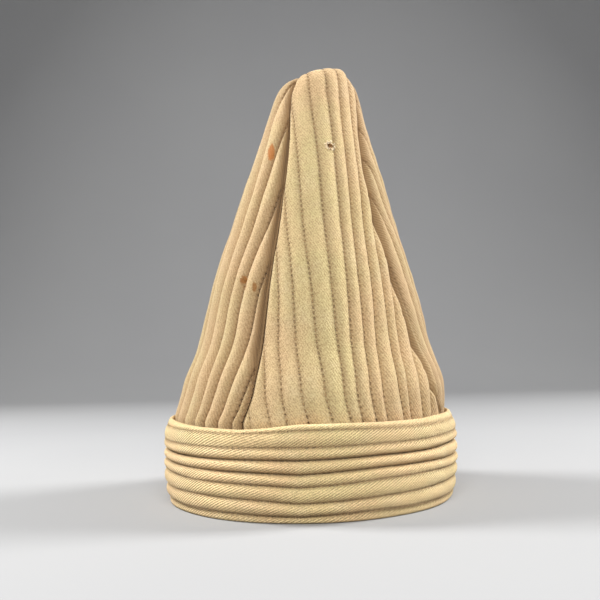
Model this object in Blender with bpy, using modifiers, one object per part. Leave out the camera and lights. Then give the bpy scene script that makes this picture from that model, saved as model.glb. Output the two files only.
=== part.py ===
"""A tall quilted cap: four padded gores that close over a rounded tip, and a quilted head band.

The front of the cap faces -Y and its rim lies on the ground plane. Azimuths are ellipse
angles, in degrees from the front towards +X.
"""

import math

import bmesh
import bpy
import numpy as np
from mathutils import Vector

# Overall sizes, in metres
CAP_HEIGHT = 0.247
BAND_WIDTH = 0.166
BAND_LENGTH = 0.203
BAND_HEIGHT = 0.0463
TIP_WIDTH = 0.0512
TIP_LENGTH = 0.0540
TIP_LEAN = 0.0092

# Padding of the gores: full, along a stitch line, and at a turned edge. CHANNEL: the common
# distance between stitch lines. FULL_CHANNEL: the share of it from which a channel is full.
PADDING = 0.0065
STITCHED = 0.0026
TURNED_EDGE = 0.0016
CHANNEL = 0.0102
LEAST_CHANNEL = 0.0016
FULL_CHANNEL = 0.8

# Seams between the gores. SEAM_SHOULDER: the width that curves down to a seam, at most
# SHOULDER_SHARE of the gore. SEAM_SKEW: the most that a seam leans sideways, in degrees.
# SEAM_ROOM: how fast the padding grows away from a seam. LEAST_ALLOWANCE: the share of the seam
# allowance that is left at the tip.
SEAM_GAP = 0.0003
SEAM_DEPTH = 0.0062
SEAM_SHOULDER = 0.0105
SHOULDER_SHARE = 0.45
SEAM_ALLOWANCE = 0.0032
LEAST_ALLOWANCE = 0.7
SEAM_SKEW = 27
SEAM_ROOM = 1.4

# Padding of the head band: full, along a stitch line, and at a folded edge. RIM_TURN: how far
# the rim is turned inwards.
BAND_PADDING = 0.0050
BAND_STITCHED = 0.0026
BAND_FOLD = 0.0032
UPPER_FOLD_HEIGHT = 0.0028
LOWER_FOLD_HEIGHT = 0.0034
FOLD_ROUNDING = 0.0008
RIM_TURN = 0.0015
SHARP_ANGLE = 50

# How far the gores reach down inside the band, and their clearance to it
TUCK = 0.014
CLEARANCE = 0.0003

# The worn hole in the front gore. HOLE_OFFSET: from the gore's middle line, along the cloth.
HOLE_DIAMETER = 0.0034
HOLE_DEPTH = 0.0016
HOLE_RISE = 0.74
HOLE_OFFSET = -0.0021

# Fineness of the meshes
GORE_SAMPLES = 161
BAND_SEGMENTS = 56
HOLE_SIDES = 12
WELD = 0.00002

# Cone sections, as shares. rise: of the way from the band's top to the tip. base and tip: of
# the cone's size at the band and of the tip's size, added together. lean: of the tip's lean.
# crease: of the seams' depth. padding: of the full padding.
SECTIONS = {
    "rise": (0.0, 0.08, 0.19, 0.30, 0.41, 0.52, 0.63, 0.74, 0.84, 0.915, 0.961, 0.987, 1.0, 0.993),
    "base": (1.0, 0.94, 0.80, 0.70, 0.59, 0.46, 0.34, 0.21, 0.08, 0.0, 0.0, 0.0, 0.0, 0.0),
    "tip": (0.0, 0.07, 0.19, 0.29, 0.40, 0.52, 0.64, 0.765, 0.92, 1.0, 0.87, 0.72, 0.50, 0.16),
    "lean": (0.0, 0.28, 0.36, 0.42, 0.47, 0.53, 0.63, 0.77, 0.86, 0.93, 0.98, 1.0, 1.0, 1.0),
    "crease": (0.45, 0.50, 0.60, 0.65, 0.70, 0.75, 0.80, 0.85, 0.95, 1.0, 0.90, 0.70, 0.35, 0.06),
    "padding": (0.85, 1.0, 1.0, 1.0, 1.0, 1.0, 1.0, 1.0, 1.0, 1.0, 0.9, 0.65, 0.4, 0.0),
}

# Azimuths of the seams and of the gores' middle lines, in degrees, by rise
TURNS = {
    "rise": (0.0, 0.08, 0.19, 0.33, 0.50, 0.63, 0.77, 0.84, 0.915),
    "front_left_seam": (-27, -25.5, -25.2, -25.2, -24.8, -25.5, -30, -35, -41),
    "front_right_seam": (68, 57.5, 53.5, 49.5, 47.2, 46.8, 53, 61, 72),
    "back_right_seam": (151, 150, 148, 145, 142, 140, 140, 143, 148),
    "back_left_seam": (242, 242, 241, 240, 239, 238, 236, 233, 229),
    "gore_front": (20, 16.6, 16.5, 16.7, 17.3, 17.5, 16.5, 15.5, 14.5),
    "gore_right": (103, 100, 98, 96, 96, 96, 98, 100, 104),
    "gore_back": (196, 195, 194, 192, 190, 189, 188, 188, 188),
    "gore_left": (288, 288, 288, 286, 284, 281, 275, 271, 269),
}

# Each gore: the seams on its two sides, how much lower its top lies, as a share of the tip's
# width, how steeply its top climbs towards +X, and the widths of its channels from the middle
# line outwards, as shares of the common channel, at the band and above
GORES = {
    "gore_front": {
        "seams": ("front_left_seam", "front_right_seam"),
        "lower": 0.02,
        "slant": 0.22,
        "before": (0.63, 0.89, 1.10, 1.03, 0.80, 1.00),
        "before_above": (0.87, 1.05, 0.80, 0.66, 0.72, 0.90),
        "after": (0.73, 0.70, 1.12, 0.60, 1.15, 1.00),
        "after_above": (0.66, 0.76, 0.68, 0.70, 0.90, 1.00),
    },
    "gore_right": {
        "seams": ("front_right_seam", "back_right_seam"),
        "lower": 0.13,
        "slant": 0.22,
        "before": (1.00, 0.95, 1.05, 1.45, 1.27, 1.05),
        "before_above": (1.00, 0.95, 0.95, 1.00, 1.20, 1.05),
        "after": (1.00, 1.10, 0.95, 1.05, 1.00, 1.10),
        "after_above": (1.00, 1.10, 0.95, 1.05, 1.00, 1.10),
    },
    "gore_back": {
        "seams": ("back_right_seam", "back_left_seam"),
        "lower": 0.08,
        "slant": 0.11,
        "before": (1.00, 1.10, 0.95, 1.05, 1.10, 1.00),
        "before_above": (1.00, 1.10, 0.95, 1.05, 1.10, 1.00),
        "after": (1.05, 1.00, 1.10, 0.95, 1.00, 1.10),
        "after_above": (1.05, 1.00, 1.10, 0.95, 1.00, 1.10),
    },
    "gore_left": {
        "seams": ("back_left_seam", "front_left_seam"),
        "lower": 0.04,
        "slant": 0.11,
        "before": (1.10, 1.00, 1.05, 0.95, 1.10, 1.00),
        "before_above": (1.10, 1.00, 1.05, 0.95, 1.10, 1.00),
        "after": (1.53, 1.48, 0.94, 1.10, 0.95, 0.90),
        "after_above": (1.80, 1.10, 1.05, 1.10, 0.95, 0.90),
    },
}

# Rises: where the channels reach their widths above, and where the gores' tops begin to slant
# and to lie lower. The seams and the middle lines run straight up from there.
GATHERED_AT = 0.45
SLANTED_FROM = 0.84
LOWER_FROM = 0.915

# Across a channel: where the mesh has a column, and the share of the padding's bulge there
ACROSS = {
    "place": (0.0, 0.22, 0.5, 0.78),
    "bulge": (0.0, 0.80, 1.0, 0.80),
}

# The band's padded channels, from the rim upwards. height: share of the space between the
# folded edges. bulge: share of the full bulge. turned: share of RIM_TURN at the foot.
BAND_CHANNELS = {
    "height": (0.180, 0.187, 0.140, 0.147, 0.144, 0.202),
    "bulge": (0.85, 0.95, 1.00, 1.00, 0.95, 0.95),
    "turned": (0.75, 0.30, 0.0, 0.0, 0.0, 0.0),
}

COLOURS = {
    "gore_front": (0.63, 0.47, 0.25, 1.0),
    "gore_right": (0.64, 0.46, 0.26, 1.0),
    "gore_back": (0.62, 0.45, 0.25, 1.0),
    "gore_left": (0.63, 0.45, 0.26, 1.0),
    "head_band": (0.56, 0.40, 0.22, 1.0),
}
ROUGHNESS = 0.9


def clear_scene():
    for found in list(bpy.data.objects):
        bpy.data.objects.remove(found, do_unlink=True)


def new_collection(name):
    made = bpy.data.collections.new(name)
    bpy.context.scene.collection.children.link(made)
    return made


def cloth_material(name):
    material = bpy.data.materials.new(name + "_cloth")
    material.use_nodes = True
    shader = material.node_tree.nodes["Principled BSDF"]
    shader.inputs["Base Color"].default_value = COLOURS[name]
    shader.inputs["Roughness"].default_value = ROUGHNESS
    shader.inputs["Metallic"].default_value = 0.0
    return material


def by_rise(table, column, rise):
    """A column of one of the tables above, between its rows."""
    return float(np.interp(rise, table["rise"], table[column]))


def smallest_half(across_band):
    """Half the size of the cone where it meets the band, at the middle of its wall."""
    facet = across_band / 2 * (1 - math.cos(math.pi / BAND_SEGMENTS))
    return across_band / 2 - BAND_PADDING - facet - CLEARANCE - PADDING / 2


def lowering(name, row):
    """How much lower than the front one this gore's top lies."""
    past = max(0.0, SECTIONS["rise"][row] - LOWER_FROM) / (1 - LOWER_FROM)
    return GORES[name]["lower"] * TIP_WIDTH * past


def half_sizes(row):
    """Half the width and half the length of a cone section, at the middle of its wall."""
    base = SECTIONS["base"][row]
    tip = SECTIONS["tip"][row]
    half_width = base * smallest_half(BAND_WIDTH) + tip * (TIP_WIDTH - PADDING) / 2
    half_length = base * smallest_half(BAND_LENGTH) + tip * (TIP_LENGTH - PADDING) / 2
    return half_width, half_length


def distances(x, y):
    """Distances along a line of points, from its start."""
    return np.concatenate([[0.0], np.cumsum(np.hypot(np.diff(x), np.diff(y)))])


def gore_section(name, row):
    """Points along the middle of the gore's wall at one row, and the middle line's place."""
    half_width, half_length = half_sizes(row)
    turn_rise = min(SECTIONS["rise"][row], LOWER_FROM)
    seams = GORES[name]["seams"]
    start = math.radians(by_rise(TURNS, seams[0], turn_rise))
    end = math.radians(by_rise(TURNS, seams[1], turn_rise))
    if end < start:
        end += 2 * math.pi
    middle = math.radians(by_rise(TURNS, name, turn_rise))
    if middle < start:
        middle += 2 * math.pi

    def pace(angle):
        return np.hypot(half_width * np.cos(angle), half_length * np.sin(angle))

    inset = (TURNED_EDGE / math.cos(math.radians(SEAM_SKEW)) + SEAM_GAP) / 2
    first = start + inset / pace(start)
    last = end - inset / pace(end)
    angles = np.linspace(first, last, GORE_SAMPLES)
    from_start = (angles - start) * pace(start)
    from_end = (end - angles) * pace(end)
    nearest = np.minimum(from_start, from_end)
    gore_width = (end - start) * pace((start + end) / 2)
    shoulder = min(SEAM_SHOULDER, SHOULDER_SHARE * gore_width)
    left = np.clip(1 - nearest / shoulder, 0, 1)
    sunk = SECTIONS["crease"][row] * SEAM_DEPTH * (1 - np.sqrt(1 - left**2))
    normal_x = half_length * np.sin(angles)
    normal_y = -half_width * np.cos(angles)
    length = np.hypot(normal_x, normal_y)
    lean = SECTIONS["lean"][row] * TIP_LEAN
    x = lean + half_width * np.sin(angles) - sunk * normal_x / length
    y = -half_length * np.cos(angles) - sunk * normal_y / length
    return x, y, np.interp(middle, angles, np.arange(GORE_SAMPLES))


def level(name, row):
    """The height of a row on the cone's axis."""
    cone = CAP_HEIGHT - PADDING / 2 - BAND_HEIGHT
    return BAND_HEIGHT + SECTIONS["rise"][row] * cone - lowering(name, row)


def row_height(name, row, x):
    """The height of a row where it crosses x: near the tip, the rows climb with x."""
    slanted = max(0.0, SECTIONS["rise"][row] - SLANTED_FROM) / (1 - SLANTED_FROM)
    climb = slanted * GORES[name]["slant"] * (x - SECTIONS["lean"][row] * TIP_LEAN)
    return level(name, row) + climb


def seam_spot(name, row, side):
    """Where a seam crosses a row: from the cone's axis to the right and back, and the height."""
    seam = by_rise(TURNS, GORES[name]["seams"][side], min(SECTIONS["rise"][row], LOWER_FROM))
    half_width, half_length = half_sizes(row)
    across = half_width * math.sin(math.radians(seam))
    return Vector((across, -half_length * math.cos(math.radians(seam)), level(name, row)))


def turned_in(name, row, x, y, side):
    """The free edge of the seam allowance, turned in at one side of a gore, square to the seam."""
    below = seam_spot(name, max(0, row - 1), side)
    above = seam_spot(name, min(len(SECTIONS["rise"]) - 1, row + 1), side)
    closing = math.hypot(below.x, below.y) - math.hypot(above.x, above.y)
    climbing = above.z - below.z
    out = seam_spot(name, row, side).xy.normalized()
    share = min(1.0, max(LEAST_ALLOWANCE, 2 * SECTIONS["crease"][row]))
    reach = SEAM_ALLOWANCE * share / math.hypot(closing, climbing)
    edge_x = x[-side] - reach * climbing * out.x
    edge_y = y[-side] - reach * climbing * out.y
    return edge_x, edge_y, row_height(name, row, edge_x) - reach * closing


def channel_lines(name, row):
    """Stitch lines of a gore, as distances along the cloth from its middle line."""
    gore = GORES[name]
    above = min(1.0, SECTIONS["rise"][row] / GATHERED_AT)
    before = (1 - above) * np.array(gore["before"]) + above * np.array(gore["before_above"])
    after = (1 - above) * np.array(gore["after"]) + above * np.array(gore["after_above"])
    beyond = BAND_LENGTH
    lines = [-beyond, *(-np.cumsum(before)[::-1] * CHANNEL), 0.0, *(np.cumsum(after) * CHANNEL), beyond]
    return np.array(lines)


def gore_row(name, row):
    """The points of one row across the gore, and the share of the padding at each."""
    x, y, middle = gore_section(name, row)
    walked = distances(x, y)
    from_middle = walked - np.interp(middle, np.arange(GORE_SAMPLES), walked)
    lines = channel_lines(name, row)
    lines[lines < from_middle[0] + LEAST_CHANNEL] = from_middle[0]
    lines[lines > from_middle[-1] - LEAST_CHANNEL] = from_middle[-1]
    stitched = (STITCHED - TURNED_EDGE) / (PADDING - TURNED_EDGE)
    spots = [turned_in(name, row, x, y, 0)]
    shares = [0.0]
    for low, high in zip(lines[:-1], lines[1:]):
        fullness = min(1.0, (high - low) / (FULL_CHANNEL * CHANNEL))
        for place, bulge in zip(ACROSS["place"], ACROSS["bulge"]):
            along = low + place * (high - low)
            spot_x = np.interp(along, from_middle, x)
            spot_y = np.interp(along, from_middle, y)
            spots.append((spot_x, spot_y, row_height(name, row, spot_x)))
            from_seam = min(along - from_middle[0], from_middle[-1] - along)
            room = SEAM_ROOM * from_seam / (PADDING - TURNED_EDGE)
            share = min(stitched + (1 - stitched) * bulge * fullness, room)
            shares.append(share * SECTIONS["padding"][row])
    spots.append((x[-1], y[-1], row_height(name, row, x[-1])))
    spots.append(turned_in(name, row, x, y, 1))
    shares += [0.0, 0.0]
    return spots, shares


def add_gore(name, collection):
    """A gore as an open surface of rows, thickened to a quilted wall."""
    rows = [gore_row(name, row) for row in range(len(SECTIONS["rise"]))]
    lowest = [(x, y, z - TUCK) for x, y, z in rows[0][0]]
    rows.insert(0, (lowest, [0.0] * len(lowest)))
    shape = bmesh.new()
    padding = shape.verts.layers.deform.verify()
    grid = []
    for points, shares in rows:
        line = [shape.verts.new(point) for point in points]
        for vertex, share in zip(line, shares):
            vertex[padding][0] = share
        grid.append(line)
    for lower, upper in zip(grid[:-1], grid[1:]):
        for i in range(len(lower) - 1):
            shape.faces.new((lower[i], lower[i + 1], upper[i + 1], upper[i]))
    bmesh.ops.remove_doubles(shape, verts=shape.verts, dist=WELD)
    bmesh.ops.dissolve_degenerate(shape, dist=WELD, edges=shape.edges)
    bmesh.ops.triangulate(shape, faces=shape.faces)
    mesh = bpy.data.meshes.new(name)
    shape.to_mesh(mesh)
    shape.free()
    mesh.shade_smooth()
    gore = bpy.data.objects.new(name, mesh)
    gore.vertex_groups.new(name="padding")
    collection.objects.link(gore)
    gore.data.materials.append(cloth_material(name))
    wall = gore.modifiers.new("wall", "SOLIDIFY")
    wall.thickness = PADDING
    wall.offset = 0.0
    wall.vertex_group = "padding"
    wall.thickness_vertex_group = TURNED_EDGE / PADDING
    return gore


def band_profile():
    """The band's cross-section: outwards from its inner face, and up from the rim."""
    low = LOWER_FOLD_HEIGHT
    high = BAND_HEIGHT - UPPER_FOLD_HEIGHT
    fold = BAND_FOLD - RIM_TURN
    outline = [(-RIM_TURN, 0.0), (fold - FOLD_ROUNDING, 0.0), (fold, FOLD_ROUNDING)]
    feet = low + (high - low) * np.cumsum((0.0, *BAND_CHANNELS["height"]))
    turned = (*BAND_CHANNELS["turned"], 0.0)
    for channel, fullness in enumerate(BAND_CHANNELS["bulge"]):
        for place, bulge in zip(ACROSS["place"], ACROSS["bulge"]):
            height = feet[channel] + place * (feet[channel + 1] - feet[channel])
            inwards = RIM_TURN * np.interp(height, feet, turned)
            out = BAND_STITCHED + (BAND_PADDING - BAND_STITCHED) * bulge * fullness
            outline.append((out - inwards, height))
    outline.append((BAND_STITCHED, high))
    outline.append((BAND_FOLD, high + FOLD_ROUNDING))
    outline.append((BAND_FOLD, BAND_HEIGHT - FOLD_ROUNDING))
    outline.append((BAND_FOLD - FOLD_ROUNDING, BAND_HEIGHT))
    outline.append((0.0, BAND_HEIGHT))
    outline.append((0.0, feet[2]))
    return outline


def poly_curve(name, points, dimensions):
    curve = bpy.data.curves.new(name, "CURVE")
    curve.dimensions = dimensions
    spline = curve.splines.new("POLY")
    spline.points.add(len(points) - 1)
    for target, (x, y) in zip(spline.points, points):
        target.co = (x, y, 0.0, 1.0)
    spline.use_cyclic_u = True
    return curve


def add_band(collection, helpers):
    """The band as its cross-section, carried round the oval of the head."""
    profile = bpy.data.objects.new("band_profile", poly_curve("band_profile", band_profile(), "2D"))
    helpers.objects.link(profile)
    profile.hide_render = True
    profile.display_type = "WIRE"
    half_width = BAND_WIDTH / 2 - BAND_PADDING
    half_length = BAND_LENGTH / 2 - BAND_PADDING
    turns = [2 * math.pi * i / BAND_SEGMENTS for i in range(BAND_SEGMENTS)]
    oval = [(half_width * math.sin(t), -half_length * math.cos(t)) for t in turns]
    path = poly_curve("band_oval", oval, "3D")
    path.twist_mode = "Z_UP"
    path.bevel_mode = "OBJECT"
    path.bevel_object = profile
    swept = bpy.data.objects.new("band_oval", path)
    collection.objects.link(swept)
    graph = bpy.context.evaluated_depsgraph_get()
    mesh = bpy.data.meshes.new_from_object(swept.evaluated_get(graph))
    bpy.data.objects.remove(swept)
    shape = bmesh.new()
    shape.from_mesh(mesh)
    bmesh.ops.remove_doubles(shape, verts=shape.verts, dist=WELD)
    bmesh.ops.recalc_face_normals(shape, faces=shape.faces)
    shape.to_mesh(mesh)
    shape.free()
    mesh.shade_smooth()
    mesh.set_sharp_from_angle(angle=math.radians(SHARP_ANGLE))
    band = bpy.data.objects.new("head_band", mesh)
    collection.objects.link(band)
    band.data.materials.clear()
    band.data.materials.append(cloth_material("head_band"))
    return band


def cut_worn_hole(gore, helpers):
    """A small hole worn through the outer cloth, square to it, beside the middle line."""

    def spot(row, beside):
        x, y, middle = gore_section(gore.name, row)
        walked = distances(x, y)
        along = np.interp(middle, np.arange(GORE_SAMPLES), walked) + beside
        across = np.interp(along, walked, x)
        return Vector((across, np.interp(along, walked, y), row_height(gore.name, row, across)))

    row = SECTIONS["rise"].index(HOLE_RISE)
    upwards = spot(row + 1, HOLE_OFFSET) - spot(row - 1, HOLE_OFFSET)
    sideways = spot(row, HOLE_OFFSET + HOLE_DIAMETER) - spot(row, HOLE_OFFSET - HOLE_DIAMETER)
    outwards = sideways.cross(upwards).normalized()
    surface = spot(row, HOLE_OFFSET) + outwards * STITCHED / 2
    tall = HOLE_DEPTH + PADDING
    place = surface + outwards * (tall / 2 - HOLE_DEPTH)
    bpy.ops.mesh.primitive_cone_add(
        vertices=HOLE_SIDES,
        radius1=HOLE_DIAMETER / 2,
        radius2=HOLE_DIAMETER / 2,
        depth=tall,
        location=place,
        rotation=outwards.to_track_quat("Z", "Y").to_euler(),
    )
    cutter = bpy.context.object
    cutter.name = "worn_hole_cutter"
    for home in list(cutter.users_collection):
        home.objects.unlink(cutter)
    helpers.objects.link(cutter)
    cutter.hide_render = True
    cutter.display_type = "WIRE"
    cut = gore.modifiers.new("worn_hole", "BOOLEAN")
    cut.operation = "DIFFERENCE"
    cut.solver = "EXACT"
    cut.object = cutter


def main():
    clear_scene()
    parts = new_collection("quilted_cap")
    helpers = new_collection("cutters")
    gores = {name: add_gore(name, parts) for name in GORES}
    add_band(parts, helpers)
    cut_worn_hole(gores["gore_front"], helpers)


main()
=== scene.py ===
"""Looks of a tall quilted cap: four padded gores, a quilted head band, their stitches, the twill
weave, a worn hole with frayed threads, and stains. Lengths are in metres."""

import math

import bpy
import numpy as np
from mathutils import Matrix, Vector


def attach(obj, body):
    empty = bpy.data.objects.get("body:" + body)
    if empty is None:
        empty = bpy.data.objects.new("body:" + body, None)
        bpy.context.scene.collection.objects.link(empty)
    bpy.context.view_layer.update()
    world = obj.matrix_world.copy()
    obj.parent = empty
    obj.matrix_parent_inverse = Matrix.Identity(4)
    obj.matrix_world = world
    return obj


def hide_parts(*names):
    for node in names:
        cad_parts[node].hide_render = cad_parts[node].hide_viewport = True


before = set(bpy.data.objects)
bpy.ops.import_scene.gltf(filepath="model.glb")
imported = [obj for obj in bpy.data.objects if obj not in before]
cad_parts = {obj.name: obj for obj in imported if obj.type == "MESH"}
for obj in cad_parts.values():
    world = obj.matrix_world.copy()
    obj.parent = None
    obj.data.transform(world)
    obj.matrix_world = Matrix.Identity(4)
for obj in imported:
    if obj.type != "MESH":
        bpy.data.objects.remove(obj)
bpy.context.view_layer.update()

# Sizes of the solids that the looks stand for
CAP_HEIGHT = 0.247
BAND_WIDTH = 0.166
BAND_LENGTH = 0.203
BAND_HEIGHT = 0.0463
TIP_WIDTH = 0.0512
TIP_LENGTH = 0.0540
TIP_LEAN = 0.0092
PADDING = 0.0065
STITCHED = 0.0026
TURNED_EDGE = 0.0016
CHANNEL = 0.0102
FULL_CHANNEL = 0.8
SEAM_GAP = 0.0003
SEAM_DEPTH = 0.0062
SEAM_ALLOWANCE = 0.0032
LEAST_ALLOWANCE = 0.7
SEAM_SKEW = 27
SEAM_ROOM = 1.4
SHOULDER_SHARE = 0.45
BAND_PADDING = 0.0050
BAND_SEGMENTS = 56
RIM_TURN = 0.0015
TUCK = 0.014
CLEARANCE = 0.0003
CONE = CAP_HEIGHT - PADDING / 2 - BAND_HEIGHT

# Sections of the cone, from the band up. rise: share of CONE. base, tip: shares of the size at
# the band and at the tip, which are added. lean: share of TIP_LEAN. crease: how deep the seams
# lie. padding: how thick the wall is. filled: how much of the stitch lines' valleys is filled.
SECTIONS = {
    "rise": (0.0, 0.08, 0.19, 0.30, 0.41, 0.52, 0.63, 0.74, 0.84, 0.915, 0.961, 0.987, 1.0, 0.993),
    "base": (1.0, 0.94, 0.80, 0.70, 0.59, 0.46, 0.34, 0.21, 0.08, 0.0, 0.0, 0.0, 0.0, 0.0),
    "tip": (0.0, 0.07, 0.19, 0.29, 0.40, 0.52, 0.64, 0.765, 0.92, 1.0, 0.87, 0.72, 0.50, 0.16),
    "lean": (0.0, 0.28, 0.36, 0.42, 0.47, 0.53, 0.63, 0.77, 0.86, 0.93, 0.98, 1.0, 1.0, 1.0),
    "crease": (0.45, 0.50, 0.60, 0.65, 0.70, 0.75, 0.80, 0.85, 0.95, 1.0, 0.90, 0.70, 0.35, 0.06),
    "padding": (0.85, 1.0, 1.0, 1.0, 1.0, 1.0, 1.0, 1.0, 1.0, 1.0, 0.9, 0.65, 0.4, 0.0),
    "filled": (0.0, 0.0, 0.0, 0.0, 0.0, 0.0, 0.1, 0.3, 0.5, 0.65, 0.8, 0.9, 0.95, 1.0),
}
# Azimuths of the seams and of the gores' middle lines, by rise, in degrees from the front
TURNS = {
    "rise": (0.0, 0.08, 0.19, 0.33, 0.50, 0.63, 0.77, 0.84, 0.915),
    "front_left_seam": (-27, -25.5, -25.2, -25.2, -24.8, -25.5, -30, -35, -41),
    "front_right_seam": (68, 57.5, 53.5, 49.5, 47.2, 46.8, 53, 61, 72),
    "back_right_seam": (151, 150, 148, 145, 142, 140, 140, 143, 148),
    "back_left_seam": (242, 242, 241, 240, 239, 238, 236, 233, 229),
    "gore_front": (20, 16.6, 16.5, 16.7, 17.3, 17.5, 16.5, 15.5, 14.5),
    "gore_right": (103, 100, 98, 96, 96, 96, 98, 100, 104),
    "gore_back": (196, 195, 194, 192, 190, 189, 188, 188, 188),
    "gore_left": (288, 288, 288, 286, 284, 281, 275, 271, 269),
}
# How far the stitch lines of three gores sway along the cloth, to its right
SWAY = {
    "rise": (0.0, 0.03, 0.08, 0.13, 0.19, 0.33, 0.50, 0.63, 0.71, 0.84),
    "gore_front": (0.0, 0.0, 0.0, 0.0, 0.0, 0.0004, 0.0, 0.0, 0.0, 0.0),
    "gore_right": (0.0, 0.0, 0.0005, 0.0015, 0.0023, 0.0025, 0.0027, 0.0012, 0.0, 0.0),
    "gore_left": (0.0, 0.0010, 0.0010, 0.0002, -0.0008, -0.0017, -0.0004, 0.0, -0.0012, -0.0045),
}
# The gores, each between its first and its last seam. shoulders: widths that curve down to the
# two seams. sunk: how deep the gore lies there, as a share of SEAM_DEPTH. lower: how far its tip
# lies below the top, as a share of TIP_WIDTH. slant: how steeply its rows near the tip climb with
# x. before, after: widths of the channels on the two sides of the middle line, outwards from it,
# as shares of CHANNEL at the foot; with _above, from GATHERED_AT upwards, if they differ. tone:
# each channel's colour, from pinkish (0) to greenish (1), from the first seam to the last.
# shallow: how much of each stitch line's valley is filled, in the same order. tapered_from: the
# first channel that thins out smoothly where a seam cuts it. shaded_flank: the side of each
# channel that gets painted shade, 1 for the last. raised_foot: how far the seam's painted shade
# draws back at the foot. pinch: how far the stitches draw the cloth in.
PLAIN_GORE = {
    "sunk": (0.80, 0.80),
    "slant": 0.11,
    "shallow": (0.0,) * 13,
    "tapered_from": 14,
    "shaded_flank": -1,
    "raised_foot": 0.0,
    "pinch": 0.0006,
}
GORES = {
    "gore_front": {
        **PLAIN_GORE,
        "slot": "front_cloth",
        "seams": ("front_left_seam", "front_right_seam"),
        "shoulders": (0.0040, 0.0060),
        "sunk": (1.0, 0.80),
        "lower": 0.02,
        "slant": 0.22,
        "before": (0.63, 0.89, 1.10, 1.03, 0.80, 1.00),
        "before_above": (0.87, 1.05, 0.80, 0.66, 0.72, 0.90),
        "after": (0.73, 0.70, 1.12, 0.60, 1.15, 1.00),
        "after_above": (0.66, 0.76, 0.68, 0.70, 0.90, 1.00),
        "tone": (0.5, 0.5, 0.5, 0.45, 0.75, 1.0, 0.8, 0.5, 0.35, 0.4, 0.3, 0.25, 0.3, 0.3),
        "shallow": (0.5, 0.6, 0.75, 0.8, 0.85, 0.75, 0.6, 0.4, 0.3, 0.3, 0.3, 0.3, 0.3),
        "tapered_from": 9,
        "pinch": 0.0002,
    },
    "gore_right": {
        **PLAIN_GORE,
        "slot": "right_cloth",
        "seams": ("front_right_seam", "back_right_seam"),
        "shoulders": (0.0065, 0.0080),
        "lower": 0.13,
        "slant": 0.22,
        "before": (1.00, 0.95, 1.05, 1.45, 1.27, 1.05),
        "before_above": (1.00, 0.95, 0.95, 1.00, 1.20, 1.05),
        "after": (1.00, 1.10, 0.95, 1.05, 1.00, 1.10),
        "tone": (0.2, 0.3, 0.2, 0.3, 0.2, 0.3, 0.2, 0.4, 0.3, 0.2, 0.3, 0.4, 0.3, 0.3),
        "shallow": (0.2,) * 13,
        "raised_foot": 0.002,
    },
    "gore_back": {
        **PLAIN_GORE,
        "slot": "back_cloth",
        "seams": ("back_right_seam", "back_left_seam"),
        "shoulders": (0.0080, 0.0080),
        "lower": 0.08,
        "before": (1.00, 1.10, 0.95, 1.05, 1.10, 1.00),
        "after": (1.05, 1.00, 1.10, 0.95, 1.00, 1.10),
        "tone": (0.4, 0.6, 0.3, 0.5, 0.4, 0.6, 0.3, 0.5, 0.4, 0.6, 0.3, 0.5, 0.4, 0.4),
    },
    "gore_left": {
        **PLAIN_GORE,
        "slot": "left_cloth",
        "seams": ("back_left_seam", "front_left_seam"),
        "shoulders": (0.0080, 0.0095),
        "sunk": (0.80, 1.35),
        "lower": 0.04,
        "before": (1.10, 1.00, 1.05, 0.95, 1.10, 1.00),
        "after": (1.53, 1.48, 0.94, 1.10, 0.95, 0.90),
        "after_above": (1.80, 1.10, 1.05, 1.10, 0.95, 0.90),
        "tone": (0.4, 0.3, 0.5, 0.3, 0.4, 0.3, 0.45, 0.35, 0.3, 0.35, 0.25, 0.2, 0.2, 0.2),
        "shaded_flank": 1,
        "raised_foot": 0.004,
    },
}
GATHERED_AT = 0.45
SLANTED_FROM = 0.84
LOWER_FROM = 0.915

# Stitch lines of the band, from the rim upwards: height, and how far the cloth stands out there
# and in the middle of the channel above. tone: of the lower edge, the channels, the upper edge.
BAND_LINES = {
    "height": (0.0037, 0.0106, 0.0181, 0.0237, 0.0296, 0.0354, 0.0433),
    "out": (0.0026, 0.0031, 0.0031, 0.0025, 0.0025, 0.0037, 0.0029),
    "bulge": (0.0046, 0.0050, 0.0052, 0.0052, 0.0051, 0.0050),
    "tone": (0.5, 0.4, 0.6, 0.45, 0.4, 0.5, 0.7, 0.6),
}
# The folded lower edge: how far it stands back, height, distance from the line
HEM = (
    (0.0009, 0.0, 0.0020),
    (0.0003, 0.0003, 0.0020),
    (0.0, 0.0010, 0.0016),
    (0.0, 0.0021, 0.0010),
    (0.0003, 0.0029, 0.0005),
)
HEM_OUT = 0.0035
HEM_WAVE = 0.0002
HEM_WAVES = 9
# The folded upper edge: share of its height, how far it stands out, distance from the line
LIP = (
    (0.0, 0.0028, 0.0),
    (0.06, 0.0034, 0.0004),
    (0.18, 0.0042, 0.0009),
    (0.40, 0.0045, 0.0012),
    (0.65, 0.0043, 0.0016),
    (0.85, 0.0038, 0.0020),
    (0.96, 0.0030, 0.0020),
    (1.0, 0.0019, 0.0020),
)
# Below this share of its height, it stands out as far as the cloth at the line, less LIP_STEP
LIP_SIDE = 0.5
LIP_STEP = 0.0001
# How many of its points lie outside
LIP_OUTSIDE = 6
BAND_ROWS = len(BAND_LINES["bulge"])
FAR_FROM_SEAM = 0.01
# A filled valley stands out as far as this
FILLED_OUT = BAND_PADDING - 0.0002
# The inside of the band. Where it bends in at the top, and back at the rim: how far out, and
# height from there. Between them: heights, from the top down. Its groove and tone.
TOP_BEND = ((0.0007, -0.0001), (0.0, -0.0008))
INNER_HEIGHTS = (0.036, 0.028, 0.0181, 0.0106, 0.003)
RIM_BEND = ((0.0001, 0.0006), (0.0006, 0.0))
INSIDE = (0.002, 0.5)
# How much of RIM_TURN the cloth turns in: at the rim and at the first three lines
RIM_TURNS = (1.0, 0.75, 0.3, 0.0)
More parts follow.
